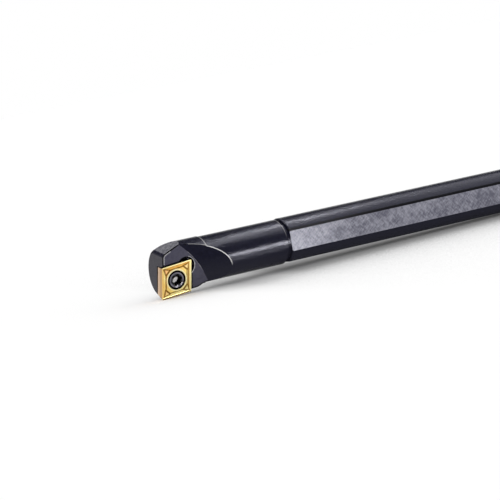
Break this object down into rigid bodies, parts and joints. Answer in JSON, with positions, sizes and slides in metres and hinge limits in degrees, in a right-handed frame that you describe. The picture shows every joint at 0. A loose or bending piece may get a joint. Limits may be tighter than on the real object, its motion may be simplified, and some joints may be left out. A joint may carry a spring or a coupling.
{
  "type": "indexable boring bar",
  "caption": "Steel boring bar with a flatted round shank, a slim neck and a milled head that holds a coated rhombic carbide insert with a countersunk screw.",
  "frame": {"origin": "centre of the flat end face at the rear of the shank, on the shank's axis", "axes": "+X along the shank's axis, out of the rear end and away from the cutting end; -Y out of the rake side; -Z towards the side that the cutting corner points to"},
  "size_m": [0.16, 0.0143, 0.0163],
  "materials": {
    "oxide_steel": "satin",
    "coated_carbide": "satin",
    "screw_steel": "satin"
  },
  "bodies": {
    "root": {"bar_body": "oxide_steel", "cutting_insert": "coated_carbide", "clamp_screw": "screw_steel"}
  },
  "joints": []
}
